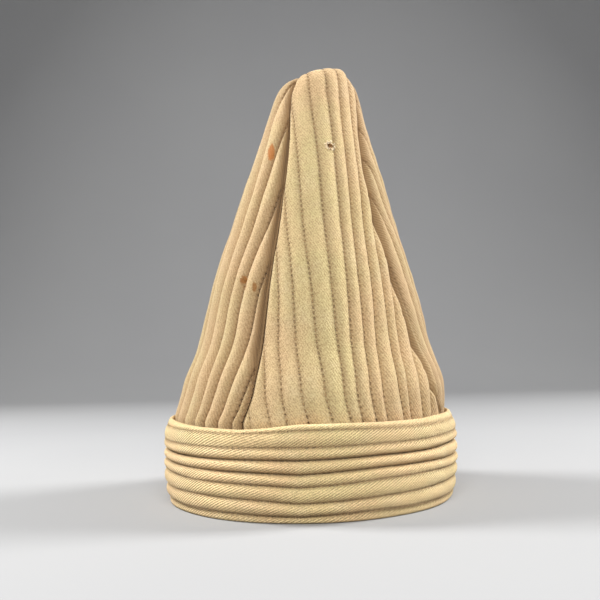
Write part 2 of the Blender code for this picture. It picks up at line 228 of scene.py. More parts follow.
# How far the upper edge leans in, by azimuth, and the height where that starts
TUCKED = ((-130, -80, -50, 50, 80, 130), (0.3, 0.65, 0.0, 0.0, 0.60, 0.3))
TUCKED_FROM = 0.036
# Painted shade on the band's channels, by azimuth from the front, and across a channel from below
BAND_SIDE_SHADE = ((12, 30), (1.0, 0.3))
SIDE_SHADE_FROM_BELOW = ((0.0, 0.15, 0.55), (1.0, 1.0, 0.0))
# At the back, the lines wave by themselves: azimuths, millimetres, and turn from line to line
BACK_FROM = 70
BACK_FADE = 30
BACK_WAVE = 0.5
BACK_SHIFT = 1.3
# How far each line, and last the upper edge, rises or falls, by azimuth, in millimetres
BAND_WAVES = {
    "azimuth": (-100, -70, -45, -25, -15, -4, 10, 25, 45, 65, 100),
    "offsets": (
        (0.0, 0.4, 0.4, 0.0, -0.5, -0.8, 0.0, 0.8, 0.2, 0.0, 0.0),
        (0.0, 0.1, 0.7, 0.3, -0.3, -1.5, -0.8, 0.2, 0.7, 1.1, 0.0),
        (0.0, 1.2, 0.2, 0.0, -0.4, -1.3, -0.4, 1.0, 1.2, 0.4, 0.0),
        (0.0, 0.6, 0.2, 0.0, -0.3, -1.1, 0.0, 0.9, 0.6, -0.3, 0.0),
        (0.0, 0.0, -0.2, 0.0, 0.0, -0.3, 0.2, 0.7, 0.5, 1.1, 0.0),
        (0.0, -0.4, -0.3, 0.0, 0.0, 0.0, 0.1, 0.4, 0.3, 1.0, 0.0),
        (0.0, -0.6, -0.9, -1.2, -0.6, 0.3, 0.3, -0.2, -0.9, -0.4, 0.0),
        (0.0, -0.6, -1.9, -2.5, -1.6, 0.0, 0.1, -0.4, -0.6, 0.6, 0.0),
    ),
}
# How much of each line's valley is filled, by azimuth: below 0, the valley is deeper
BAND_FILLS = {
    "azimuth": (-100, -45, -26, -11, 2, 18, 34, 53, 100),
    "shares": (
        (0.2, 0.5, 0.0, -0.3, -0.15, 0.2, 0.5, 0.4, 0.2),
        (0.2, 0.4, -0.1, -0.25, -0.2, 0.0, 0.35, 0.2, 0.2),
        (0.2, 0.6, 0.25, -0.15, 0.2, 0.6, 0.7, 0.5, 0.2),
        (0.2, 0.4, -0.1, -0.3, -0.1, 0.0, 0.1, 0.25, 0.2),
        (0.0, 0.0, 0.0, -0.3, -0.2, -0.15, 0.0, 0.1, 0.0),
        (0.5, 0.7, 0.8, 0.0, 0.2, 0.4, 0.6, 0.6, 0.5),
        (0.7, 0.8, 0.85, 0.6, 0.5, 0.7, 0.8, 0.7, 0.7),
    ),
}

# Roundness of a channel: below 1, it is squarer
GORE_ROUNDNESS = 0.95
BAND_ROUNDNESS = 0.80
STITCHED_SHARE = (STITCHED - TURNED_EDGE) / (PADDING - TURNED_EDGE)
FILLED_VALLEY = 0.85
# The stitch lines wander a little, each by itself
LINE_WANDER = 0.00022
WANDER_LENGTHS = (0.03, 0.08)
LINES_APART = 0.031
# How much of the tone is left, by rise, and how far the seam's painted shade draws back, by path
TONE_BY_RISE = ((0.0, 0.1, 0.75, 0.93), (0.6, 1.0, 0.9, 0.2))
FOOT_BY_PATH = ((0.010, 0.035), (1.0, 0.0))
# Painted shade across a gore's channel, towards its shaded flank
SIDE_SHADE_ACROSS = ((0.45, 0.85, 1.0), (0.0, 1.0, 1.0))
FLAP_ON_CLOTH = 0.003
TUCK_ROWS = 4

# Unevenness of the cloth: dents, small dents and puckers. Each has its height, its shortest
# and longest wave, and how much closer its waves lie across the cloth and up it.
GORE_DENTS = (
    (0.00030, 0.030, 0.070, 1.0, 1.0),
    (0.00016, 0.010, 0.020, 1.6, 1.0),
    (0.00016, 0.0045, 0.0090, 0.35, 1.0),
)
BAND_DENTS = (
    (0.00022, 0.025, 0.060, 1.0, 1.0),
    (0.00012, 0.009, 0.018, 1.0, 1.6),
    (0.00013, 0.0045, 0.0090, 1.0, 0.35),
)
# Widths over which it fades: to a stitch line, a seam, the rim, and the foot and the tip
GROOVE_FADE = 0.0025
BAND_GROOVE_FADE = 0.0020
SEAM_FADE = 0.004
RIM_FADE = 0.004
END_FADE = 0.02
CLOTH_TOP = 1.06 * CONE
PUCKER_WIDTH = 0.0022
BAND_PUCKER_WIDTH = 0.0018
PINCH_WIDTH = 0.0010
# Right at its line a pucker is lower, and inside the dents are shallower
PUCKER_FADE = 0.0004
PUCKER_LEAST = 0.3
INNER_DENTS = 0.6
# The outer cloth stands out from the middle of the wall by FULLER times half the solid's
# wall, less FULLER_LESS, and always leaves LEAST_WALL
FULLER = 1.82
FULLER_LESS = 0.00267
LEAST_WALL = 0.0010

# Fineness
ROW_STEP = 0.0015
GORE_SAMPLES = 481
BAND_AROUND = 400
PLACES = np.array((0.0, 0.03, 0.08, 0.15, 0.24, 0.36, 0.5, 0.64, 0.76, 0.85, 0.92, 0.97))

# UV units in a metre of cloth, and the cloth on the face that closes the band's outline
CLOTH_SCALE = 10
LAST_FACE = 0.001

# Threads: a stitch with the gap after it, the share that lies on top, and the thread's radius
STITCH = 0.0030
STITCH_ON_TOP = 0.62
THREAD = 0.00016
BAND_THREAD = 0.00015
FRAYED_THREAD = 0.00013
THREAD_END = 0.55
EDGE_SLANT = 0.35
STITCH_SIZES = (0.92, 1.08)
STITCH_SWING = 0.06
# Stitches keep clear of a seam, and lie between these heights up the cloth
CLEAR_OF_SEAM = 0.0022
STITCHED_UP = (0.0004, 1.01 * CONE)
# Along one stitch: places, and heights above the cloth
STITCH_PLACES = np.array([-0.5, -0.28, 0.28, 0.5])
STITCH_LIFT = np.array([-0.00022, 0.00012, 0.00012, -0.00022])

# The worn hole: its place on the cloth from the gore's middle line and up the cone
HOLE_ACROSS = -0.0021
HOLE_UP = 0.1510
HOLE_SIZE = 0.0035
HOLE_DEPTH = 0.0021
HOLE_SIDES = 18
HOLE_STRETCH = 1.25
HOLE_LOBES = 0.16
HOLE_RAGGED = 0.1
# From the bottom to above the cloth: height, and share of the hole's width
HOLE_RINGS = ((-HOLE_DEPTH, 0.35), (-0.6 * HOLE_DEPTH, 0.85), (0.0, 1.0), (0.003, 1.5))
FRAYED_THREADS = 60
# Their start, as a share of the hole's half width, length, turn aside, and steepness
FRAYED_OUT = (0.95, 1.15)
FRAYED_LENGTH = (0.0008, 0.0019)
FRAYED_ASIDE = (-0.9, 0.9)
FRAYED_RISE = (0.1, 0.6)
# Along one of them: places, how far round its arch it goes, and how high it starts
FRAYED_PLACES = (0.0, 0.4, 0.75, 1.0)
FRAYED_ARCH = 0.8
FRAYED_LIFT = 0.0001


def monotone(xs, ys, at):
    """A monotone cubic curve through the points (xs, ys), read at the places given."""
    xs, ys, at = (np.asarray(v, float) for v in (xs, ys, at))
    step = np.diff(xs)
    slope = np.diff(ys) / step
    tangent = np.zeros(len(xs))
    tangent[0] = slope[0]
    tangent[-1] = slope[-1]
    for i in range(1, len(xs) - 1):
        if slope[i - 1] * slope[i] > 0:
            a = 2 * step[i] + step[i - 1]
            b = step[i] + 2 * step[i - 1]
            tangent[i] = (a + b) / (a / slope[i - 1] + b / slope[i])
    k = np.clip(np.searchsorted(xs, at, side="right") - 1, 0, len(xs) - 2)
    t = (at - xs[k]) / step[k]
    return (
        (1 + 2 * t) * (1 - t) ** 2 * ys[k]
        + t * (1 - t) ** 2 * step[k] * tangent[k]
        + t * t * (3 - 2 * t) * ys[k + 1]
        + t * t * (t - 1) * step[k] * tangent[k + 1]
    )


def ripples(seed, shortest, longest, count=7):
    """A smooth random field over two coordinates, from about -1 to 1."""
    rng = np.random.default_rng(seed)
    turn = rng.uniform(0, math.pi, count)
    length = rng.uniform(shortest, longest, count)
    phase = rng.uniform(0, 2 * math.pi, count)

    def field(u, v):
        total = 0.0
        for a, w, p in zip(turn, length, phase):
            total = total + np.sin(2 * math.pi * (u * math.cos(a) + v * math.sin(a)) / w + p)
        return total / math.sqrt(2 * count)

    return field


def distances(points):
    """Distances along a line of points, from its start."""
    steps = np.linalg.norm(np.diff(points, axis=0), axis=1)
    return np.concatenate([[0.0], np.cumsum(steps)])


def unit(vectors):
    """The vectors, each made one long."""
    return vectors / np.maximum(np.linalg.norm(vectors, axis=1), 1e-12)[:, None]


def fade(value, width):
    """From 0 at a value of 0 to 1 from the width on."""
    return np.clip(value / width, 0, 1)


def between(values, first, last):
    """The values, with one more at each end."""
    return np.concatenate([[first], values, [last]])


def crown(roundness):
    """How high a channel stands at PLACES, from its lines (0) to its middle (1)."""
    return np.clip(1 - (2 * PLACES - 1) ** 2, 0, 1) ** roundness


def oval(half_width, half_length, turns):
    """Points on an oval round the axis, by azimuth, and the way out of it at each of them."""
    points = np.stack([half_width * np.sin(turns), -half_length * np.cos(turns)], 1)
    outwards = np.stack([half_length * np.sin(turns), -half_width * np.cos(turns)], 1)
    return points, unit(outwards)


def in_degrees(turn):
    """The azimuth from the front, from -180 to 180 degrees."""
    return (np.degrees(turn) + 180) % 360 - 180


def smallest_half(across_band):
    """Half the cone's width or length where it leaves the band, to the middle of its wall."""
    facet = across_band / 2 * (1 - math.cos(math.pi / BAND_SEGMENTS))
    return across_band / 2 - BAND_PADDING - facet - CLEARANCE - PADDING / 2


def half_sizes(base, tip):
    """Half the width and the length of a section, from its shares of the base and the tip."""
    half_width = base * smallest_half(BAND_WIDTH) + tip * (TIP_WIDTH - PADDING) / 2
    half_length = base * smallest_half(BAND_LENGTH) + tip * (TIP_LENGTH - PADDING) / 2
    return half_width, half_length


def fine_sections():
    """The sections of the cone at a fine, even step along its side."""
    sizes = half_sizes(np.array(SECTIONS["base"]), np.array(SECTIONS["tip"]))
    path = distances(np.column_stack([np.array(SECTIONS["rise"]) * CONE, sizes[0]]))
    at = np.linspace(0, path[-1], round(path[-1] / ROW_STEP) + 1)
    fine = {key: monotone(path, values, at) for key, values in SECTIONS.items()}
    for key, size in zip(("half_width", "half_length"), sizes):
        fine[key] = monotone(path, size, at)
    fine["path"] = at
    return fine


def turn_at(key, rise):
    """The azimuth of a seam or a middle line, by rise."""
    return np.radians(monotone(TURNS["rise"], TURNS[key], np.minimum(rise, LOWER_FROM)))


def row_of_gore(name, s, seams, middle_turn, tilts):
    """Across one row of a gore: the line at the middle of its wall, the middle line's place, and
    the free edges of the two seam allowances, each with how far it lies below the row."""
    gore = GORES[name]
    half_width, half_length = s["half_width"], s["half_length"]
    start, end = seams
    if end < start:
        end += 2 * math.pi
    middle = middle_turn if middle_turn >= start else middle_turn + 2 * math.pi

    def pace(angle):
        return np.hypot(half_width * np.cos(angle), half_length * np.sin(angle))

    inset = (TURNED_EDGE / math.cos(math.radians(SEAM_SKEW)) + SEAM_GAP) / 2
    angles = np.linspace(start + inset / pace(start), end - inset / pace(end), GORE_SAMPLES)
    gore_width = (end - start) * pace((start + end) / 2)
    sunk = 0.0
    sides = ((angles - start) * pace(start), (end - angles) * pace(end))
    for side, shoulder, share in zip(sides, gore["shoulders"], gore["sunk"]):
        reach = min(shoulder, SHOULDER_SHARE * gore_width)
        left = np.clip(1 - side / reach, 0, 1)
        depth = s["crease"] * SEAM_DEPTH * share
        sunk = np.maximum(sunk, depth * (1 - np.sqrt(1 - left**2)))
    points, outwards = oval(half_width, half_length, angles)
    points -= sunk[:, None] * outwards
    points[:, 0] += s["lean"] * TIP_LEAN
    allowances = []
    for seam, spot, tilt in zip(seams, (0, -1), tilts):
        out = oval(half_width, half_length, [seam])[0][0]
        reach = SEAM_ALLOWANCE * min(1.0, max(LEAST_ALLOWANCE, 2 * s["crease"]))
        inwards = reach * math.sin(tilt) * out / np.linalg.norm(out)
        allowances.append((points[spot] - inwards, reach * math.cos(tilt)))
    return points, np.interp(middle, angles, np.arange(GORE_SAMPLES)), allowances


def level(name, rise):
    """The height of a row of a gore on the cone's axis."""
    past = np.maximum(0.0, rise - LOWER_FROM) / (1 - LOWER_FROM)
    return BAND_HEIGHT + rise * CONE - GORES[name]["lower"] * TIP_WIDTH * past


def height_of(name, s, x):
    """The height of a row where it crosses x: near the tip, the rows climb with x."""
    slanted = max(0.0, s["rise"] - SLANTED_FROM) / (1 - SLANTED_FROM)
    return level(name, s["rise"]) + slanted * GORES[name]["slant"] * (x - s["lean"] * TIP_LEAN)


def seam_tilts(name, fine, seams):
    """How steeply the cone closes along each of a gore's seams, as an angle from level."""
    tilts = []
    for seam in seams:
        away = np.hypot(fine["half_width"] * np.sin(seam), fine["half_length"] * np.cos(seam))
        tilts.append(np.arctan2(np.gradient(level(name, fine["rise"])), -np.gradient(away)))
    return tilts


def stitch_lines(name, rise, path, wander, walked):
    """Where the stitch lines cross a row, from seam to seam, along the cloth."""
    gore = GORES[name]
    above = min(1.0, rise / GATHERED_AT)
    before, after = (
        (1 - above) * np.array(gore[side])
        + above * np.array(gore.get(side + "_above", gore[side]))
        for side in ("before", "after")
    )
    lines = np.concatenate([-np.cumsum(before)[::-1], [0.0], np.cumsum(after)]) * CHANNEL
    lines = lines + LINE_WANDER * wander(np.arange(len(lines)) * LINES_APART, path)
    if name in SWAY:
        lines = lines + np.interp(rise, SWAY["rise"], SWAY[name])
    return between(np.clip(lines, walked[0], walked[-1]), walked[0], walked[-1])


def wall_shares(gore, filled, width):
    """How thick a row's wall is, from its turned edge (0) to the full padding (1)."""
    fullness = np.minimum(1.0, width / (FULL_CHANNEL * CHANNEL))
    tapered = np.arange(len(width))[:, None] >= gore["tapered_from"]
    smooth = fullness**2 * (3 - 2 * fullness)
    fullness = np.where(tapered, smooth, fullness * (2 - fullness))
    fills = filled + (1 - filled) * between(gore["shallow"], 0.0, 0.0)
    foot = FILLED_VALLEY * ((1 - PLACES) * fills[:-1, None] + PLACES * fills[1:, None])
    padded = fullness * (foot + (1 - foot) * crown(GORE_ROUNDNESS))
    return np.append((STITCHED_SHARE + (1 - STITCHED_SHARE) * padded).ravel(), 0.0)


def gore_grid(name, seed):
    """Rows of points across a gore, each with its thickness and what the material reads."""
    gore = GORES[name]
    fine = fine_sections()
    seams = [turn_at(key, fine["rise"]) for key in gore["seams"]]
    tilts = seam_tilts(name, fine, seams)
    middles = turn_at(name, fine["rise"])
    wander = ripples(seed, *WANDER_LENGTHS)
    channels = len(gore["before"]) + len(gore["after"]) + 2
    # Painted shade on one flank of each channel
    shade_share = PLACES if gore["shaded_flank"] > 0 else 1 - PLACES
    shade_share = np.append(np.tile(np.interp(shade_share, *SIDE_SHADE_ACROSS), channels), 0.0)
    phases = np.random.default_rng(seed + 9).uniform(0, 1, channels + 1)
    nearest = np.where(PLACES < 0.5, phases[:-1, None], phases[1:, None])
    nearest = np.append(nearest.ravel(), phases[-1])
    tones = np.append(np.repeat(gore["tone"], len(PLACES)), gore["tone"][-1])
    grid = {}
    for row, rise in enumerate(fine["rise"]):
        s = {key: fine[key][row] for key in fine}
        line, middle, allowances = row_of_gore(
            name, s, [turns[row] for turns in seams], middles[row], [tilt[row] for tilt in tilts]
        )
        walked = distances(line)
        walked -= np.interp(middle, np.arange(GORE_SAMPLES), walked)
        lines = stitch_lines(name, rise, s["path"], wander, walked)
        width = np.diff(lines)[:, None]
        along = np.append((lines[:-1, None] + PLACES * width).ravel(), walked[-1])
        from_seam = np.minimum(along - walked[0], walked[-1] - along)
        room = SEAM_ROOM * from_seam / (PADDING - TURNED_EDGE)
        share = np.minimum(wall_shares(gore, s["filled"], width), room) * s["padding"]
        groove = np.append((np.minimum(PLACES, 1 - PLACES) * width).ravel(), 0.0)
        tone = tones * np.interp(rise, *TONE_BY_RISE)
        beat = s["path"] / STITCH + nearest
        raised = gore["raised_foot"] * np.interp(s["path"], *FOOT_BY_PATH)
        x = np.interp(along, walked, line[:, 0])
        y = np.interp(along, walked, line[:, 1])
        (first, first_drop), (last, last_drop) = allowances
        xy = np.vstack([first, np.stack([x, y], 1), last])
        z = height_of(name, s, xy[:, 0])
        z[0] -= first_drop
        z[-1] -= last_drop
        along = between(along, along[0] - FLAP_ON_CLOTH, along[-1] + FLAP_ON_CLOTH)
        added = {
            "point": np.column_stack([xy, z]),
            "thickness": TURNED_EDGE + (PADDING - TURNED_EDGE) * between(share, 0.0, 0.0),
            "cloth": np.column_stack([along, np.full(len(along), s["path"])]),
            "groove": between(groove, 0.0, 0.0),
            "seam": between(from_seam, 0.0, 0.0) + raised,
            "tone": between(tone, tone[0], tone[-1]),
            "beat": between(beat, beat[0], beat[-1]),
            "under": between(shade_share, 0.0, 0.0),
        }
        for key, values in added.items():
            grid.setdefault(key, []).append(values)
    foot = grid["thickness"][0]
    for step in range(1, TUCK_ROWS + 1):
        part = step / TUCK_ROWS
        for key in grid:
            grid[key].insert(0, grid[key][0].copy())
        grid["point"][0][:, 2] = BAND_HEIGHT - TUCK * part
        thinned = TURNED_EDGE + (PADDING - TURNED_EDGE) * (1 - part)
        grid["thickness"][0] = np.minimum(foot, thinned)
        grid["cloth"][0][:, 1] = -TUCK * part
    return {key: np.array(value) for key, value in grid.items()}


def merged(grid):
    """The grid without its doubled points: merged indices, faces, and the kept values."""
    rows, columns = grid["thickness"].shape
    flat = grid["point"].reshape(-1, 3)
    keys = np.round(flat * 1e6).astype(np.int64)
    kept, where = np.unique(keys, axis=0, return_index=True, return_inverse=True)[1:]
    index = where.reshape(rows, columns)
    corners = np.stack(
        [index[:-1, :-1], index[:-1, 1:], index[1:, 1:], index[1:, :-1]], axis=-1
    ).reshape(-1, 4)
    faces = []
    for face in corners.tolist():
        clean = [v for i, v in enumerate(face) if v != face[i - 1]]
        if len(set(clean)) >= 3 and len(set(clean)) == len(clean):
            faces.append(clean)
    values = {key: grid[key].reshape(rows * columns, -1)[kept] for key in grid}
    return index, faces, values


def vertex_normals(points, faces):
    """Unit normals at the points, from the triangles and quads round each of them."""
    normals = np.zeros_like(points)
    for size in (3, 4):
        some = np.array([f for f in faces if len(f) == size], int).reshape(-1, size)
        corners = points[some]
        normal = np.cross(corners[:, 2] - corners[:, 0], corners[:, -1] - corners[:, 1])
        for corner in range(size):
            np.add.at(normals, some[:, corner], normal)
    return unit(normals)


def free_edges(faces):
    """Edges that only one face has, in that face's order."""
    seen = {}
    for face in faces:
        for i, b in enumerate(face):
            a = face[i - 1]
            if (b, a) in seen:
                del seen[(b, a)]
            else:
                seen[(a, b)] = True
    return list(seen)


def new_object(name, data):
    """An object in the scene."""
    made = bpy.data.objects.new(name, data)
    bpy.context.scene.collection.objects.link(made)
    return made


def new_mesh_object(name, points, faces, material):
    """A smooth mesh object in the scene."""
    mesh = bpy.data.meshes.new(name)
    mesh.from_pydata(np.asarray(points).tolist(), [], faces)
    mesh.validate()
    mesh.shade_smooth()
    mesh.materials.append(material)
    return new_object(name, mesh)


def add_cloth_map(mesh, coordinates):
    """Stores the cloth's own coordinates, one pair for each face corner, as a UV map."""
    layer = mesh.uv_layers.new(name="cloth")
    layer.uv.foreach_set("vector", (coordinates * CLOTH_SCALE).astype(np.float32).ravel())


def add_value(mesh, name, values, domain="POINT"):
    """Stores a number for each point or face corner that the material reads."""
    made = mesh.attributes.new(name, "FLOAT", domain)
    made.data.foreach_set("value", np.asarray(values, np.float32).ravel())


def finished(piece):
    """Says what the piece rides on."""
    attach(piece, "root")
    return piece


# Materials


class Nodes:
    """A short way to build a material's node tree."""

    def __init__(self, name):
        self.material = bpy.data.materials.new(name)
        self.material.use_nodes = True
        self.tree = self.material.node_tree
        self.shader = self.tree.nodes["Principled BSDF"]

    def feed(self, socket, value):
        if isinstance(value, bpy.types.NodeSocket):
            self.tree.links.new(value, socket)
        else:
            socket.default_value = value

    def add(self, kind, inputs=(), **settings):
        made = self.tree.nodes.new(kind)
        for key, value in settings.items():
            setattr(made, key, value)
        for key, value in dict(inputs).items():
            self.feed(made.inputs[key], value)
        return made

    def shade(self, inputs):
        """Sets or links the shader's inputs, and gives the finished material."""
        for key, value in inputs.items():
            self.feed(self.shader.inputs[key], value)
        return self.material

    def object_space(self):
        return self.add("ShaderNodeTexCoord").outputs["Object"]

    def math(self, operation, a, b=0.0, c=0.0, clamp=False):
        inputs = {0: a, 1: b, 2: c}
        made = self.add("ShaderNodeMath", inputs, operation=operation, use_clamp=clamp)
        return made.outputs[0]

    def times(self, a, b):
        return self.math("MULTIPLY", a, b)

    def wave(self, turns):
        return self.math("COSINE", self.times(turns, 2 * math.pi))

    def vector(self, operation, a, b=None):
        inputs = {0: a} if b is None else {0: a, 1: b}
        return self.add("ShaderNodeVectorMath", inputs, operation=operation)

    def mix(self, factor, a, b):
        made = self.add("ShaderNodeMix", {0: factor, 6: a, 7: b}, data_type="RGBA")
        return made.outputs[2]

    def ramp(self, value, low, high, to_low=0.0, to_high=1.0):
        made = self.add(
            "ShaderNodeMapRange",
            {0: value, 1: low, 2: high, 3: to_low, 4: to_high},
            interpolation_type="SMOOTHSTEP",
        )
        return made.outputs[0]

    def noise(self, kind, where):
        inputs = dict(zip(("Scale", "Detail", "Roughness"), NOISE[kind]), Vector=where)
        return self.add("ShaderNodeTexNoise", inputs).outputs["Fac"]

    def value_of(self, name):
        return self.add("ShaderNodeAttribute", attribute_name=name).outputs["Fac"]

    def bump(self, height, distance, strength, below=None):
        inputs = {"Strength": strength, "Distance": distance, "Height": height}
        if below is not None:
            inputs["Normal"] = below
        return self.add("ShaderNodeBump", inputs).outputs[0]


def twill(nodes, angle, pitch):
    """Diagonal ridges of short yarns over the cloth's own coordinates, from 0 to 1."""
    where = nodes.add("ShaderNodeUVMap", uv_map="cloth").outputs[0]
    wobble = nodes.noise("wobble", where)
    turn = math.radians(angle)
    per = 1 / (pitch * CLOTH_SCALE)
    turned = [
        nodes.vector("DOT_PRODUCT", where, (a * per, b * per, 0)).outputs["Value"]
        for a, b in ((-math.sin(turn), math.cos(turn)), (math.cos(turn), math.sin(turn)))
    ]
    across = nodes.math("MULTIPLY_ADD", wobble, RIDGE_WOBBLE, turned[0])
    ridge = nodes.math("MULTIPLY_ADD", nodes.wave(across), 0.5, 0.5)
    row = nodes.math("FLOOR", across)
    shifted = nodes.math("MULTIPLY_ADD", row, YARN_SHIFT, turned[1])
    yarn = nodes.math("MULTIPLY_ADD", nodes.wave(shifted), YARN_DEPTH, 1 - YARN_DEPTH)
    return nodes.times(ridge, yarn)


PINKISH = (0.760, 0.530, 0.290)
GREENISH = (0.700, 0.570, 0.280)
PALE = (0.820, 0.640, 0.410)
# Painted shade: beside the grooves and on one side of each channel, deeper in the grooves and
# towards the seams, darkest at the seams, in the stitch holes, and between the yarns
PAINTED_SHADE = (0.300, 0.190, 0.095, 1.0)
DEEP_PAINTED_SHADE = (0.180, 0.095, 0.040, 1.0)
SEAM_PAINTED_SHADE = (0.080, 0.038, 0.014, 1.0)
STITCH_HOLE_SHADE = (0.150, 0.062, 0.016, 1.0)
YARN_GAP_SHADE = (0.260, 0.165, 0.075, 1.0)
CREAM = (0.950, 0.790, 0.540, 1.0)
THREAD_TINT = (0.460, 0.290, 0.130, 1.0)
BAND_THREAD_TINT = (0.580, 0.400, 0.200, 1.0)
# The padding in the worn hole, darkened as painted shade
HOLE_PADDING_AND_SHADE = ((0.160, 0.075, 0.025, 1.0), (0.450, 0.270, 0.120, 1.0))
SHEEN_TINT = (1.000, 0.930, 0.800, 1.0)

# Noise: cells in each metre, or for "wobble" in each unit of the cloth's own coordinates,
# detail and roughness
NOISE = {
    "paper": (3.0, 2.0, 0.5),
    "wobble": (30.0, 2.0, 0.5),
    "patches": (34.0, 3.0, 0.6),
    "worn": (70.0, 4.0, 0.6),
    "holes": (150.0, 2.0, 0.5),
    "soft": (260.0, 3.0, 0.6),
    "stain": (900.0, 3.0, 0.7),
    "fleck": (1300.0, 1.0, 0.6),
    "padding": (1500.0, 3.0, 0.7),
    "fibre": (1600.0, 2.0, 0.6),
}
RIDGE_WOBBLE = 0.5
YARN_SHIFT = 0.37
YARN_DEPTH = 0.25
PATCHY = 0.35
WORN = 0.30
CLOTH_ROUGHNESS = (0.84, 0.96)
DARKER_FIBRES = 0.72
# Distances from a stitch line or a seam over which painted shade darkens the cloth, or over
# which it is holed or drawn in
NEAR = 0.0002
CREASE_REACH = 0.0015
FLANK_REACH = 0.0030
HOLE_REACH = 0.0005
DRAWN_REACH = 0.0022
STITCHED_FROM = (0.0015, 0.0030)
# The darkest painted shade at a seam, beside the rest there: its reach and its strength
SEAM_SHADE_REACH = 0.6
SEAM_SHADE_STRENGTH = 0.75
# Bumps: distance and strength
SOFT_BUMP = (0.0008, 0.3)
DRAWN_BUMP = (0.0005, 0.8)
HOLE_BUMP = (0.0005, 0.7)
FIBRE_BUMP = (0.00006, 0.5)
PADDING_BUMP = (0.0004, 0.8)

# The twill of the gores and of the band. angle: of its diagonals, in degrees. pitch: between two
# diagonals. contrast: of the colour, as painted shade in the gaps between the yarns. fleck: of
# the colour. ridges: height. shade: brightness; the band's, far above the gores', is painted
# light, as the band takes less light. holes, crease, flanks, under and seam: how dark the
# painted shade is in the stitch holes, in the grooves, on the channels' sides, on one side of
# each channel, and at the gore's two edges. reach: how far the painted shade at those edges
# reaches.
LOOK_KEYS = (
    "angle", "pitch", "contrast", "fleck", "ridges", "holes",
    "shade", "crease", "flanks", "under", "seam", "reach",
)
GORE_TWILL = (118, 0.00116, 0.32, 0.26, 0.00020, 0.85)
BAND_TWILL = (28, 0.00112, 0.55, 0.12, 0.00042, 0.20)
LOOKS = {
    "gore_front": GORE_TWILL + (0.80, 0.20, 0.10, 0.22, 0.15, 0.0060),
    "gore_right": GORE_TWILL + (0.78, 0.95, 0.20, 0.50, 0.65, 0.0064),
    "gore_back": GORE_TWILL + (0.74, 0.55, 0.25, 0.20, 0.50, 0.0060),
    "gore_left": GORE_TWILL + (0.76, 0.90, 0.20, 0.52, 0.95, 0.0068),
    # The band's shade, far above the gores', is painted light, as the band takes less light
    "head_band": BAND_TWILL + (1.38, 0.52, 0.0, 0.40, 0.0, 0.0060),
}

# Stains, and the pale ring round the hole: centre, half size, colour, strength
RUST = (0.370, 0.140, 0.036, 1.0)
BROWN = (0.240, 0.095, 0.020, 1.0)
TAN = (0.800, 0.500, 0.240, 1.0)
STAINS = {
    "gore_front": (
        ((0.0151, -0.0395, 0.1925), (0.0023, 0.0040, 0.0026), CREAM, 0.6),
    ),
    "gore_left": (
        ((-0.0176, -0.0295, 0.1930), (0.0022, 0.0040, 0.0066), RUST, 0.95),
        ((-0.0329, -0.0535, 0.1195), (0.0026, 0.0040, 0.0028), BROWN, 0.85),
        ((-0.0326, -0.0560, 0.1160), (0.0018, 0.0040, 0.0028), BROWN, 0.70),
        ((-0.0268, -0.0612, 0.1150), (0.0013, 0.0040, 0.0030), BROWN, 0.75),
    ),
    "head_band": (
        ((-0.0735, -0.0420, 0.0445), (0.0040, 0.0060, 0.0030), TAN, 0.55),
    ),
}
RAGGED = 1.1
STAIN_EDGE = (1.30, 1.65)


def channel_colour(nodes, shade, space):
    """The clean cloth: each channel's tone with uneven patches, and paler where it is worn."""
    pinkish, greenish, pale = (
        tuple(shade * v for v in tint) + (1.0,) for tint in (PINKISH, GREENISH, PALE)
    )
    patches = nodes.noise("patches", space)
    patchy = nodes.ramp(patches, 0.3, 0.7, -PATCHY, PATCHY)
    tone = nodes.math("ADD", nodes.value_of("tone"), patchy, clamp=True)
    worn = nodes.ramp(nodes.noise("worn", space), 0.45, 0.75)
    return nodes.mix(nodes.times(worn, WORN), nodes.mix(tone, pinkish, greenish), pale)


def groove_and_seam_shade(nodes, colour, look, line, from_seam):
    """Painted shade: darkens the cloth beside the stitch lines and towards the seams."""
    reach, strength = look["reach"], look["seam"]
    for away, start, end, most, tint in (
        (line, 0.0, FLANK_REACH, look["flanks"], PAINTED_SHADE),
        (line, NEAR, CREASE_REACH, look["crease"], DEEP_PAINTED_SHADE),
        (from_seam, NEAR, reach, strength, DEEP_PAINTED_SHADE),
        (from_seam, NEAR, SEAM_SHADE_REACH * reach, SEAM_SHADE_STRENGTH * strength, SEAM_PAINTED_SHADE),
    ):
        colour = nodes.mix(nodes.ramp(away, start, end, most, 0.0), colour, tint)
    return colour


def yarn_shade_and_flecks(nodes, colour, look, ridge, fleck):
    """Painted shade on one side of the channels and in the gaps between the yarns, stronger
    on the shaded side, and random flecks.
    """
    under = nodes.value_of("under")
    colour = nodes.mix(nodes.times(under, look["under"]), colour, PAINTED_SHADE)
    contrast = nodes.math("MULTIPLY_ADD", under, 0.5 * look["contrast"], look["contrast"])
    dark = nodes.times(nodes.math("SUBTRACT", 1.0, ridge), contrast)
    dark = nodes.math("ADD", dark, nodes.ramp(fleck, 0.35, 0.65, -look["fleck"], look["fleck"]))
    return nodes.mix(nodes.math("MAXIMUM", dark, 0.0), colour, YARN_GAP_SHADE)


def stained(nodes, colour, space, centre, size, tint, strength):
    """Adds a stain with a ragged edge round a point of the part."""
    moved = nodes.vector("SUBTRACT", space, centre).outputs[0]
    scaled = nodes.vector("MULTIPLY", moved, tuple(1 / v for v in size)).outputs[0]
    away = nodes.vector("LENGTH", scaled).outputs["Value"]
    ragged = nodes.noise("stain", space)
    ragged = nodes.math("MULTIPLY_ADD", ragged, RAGGED, away)
    return nodes.mix(nodes.ramp(ragged, *STAIN_EDGE, strength, 0.0), colour, tint)


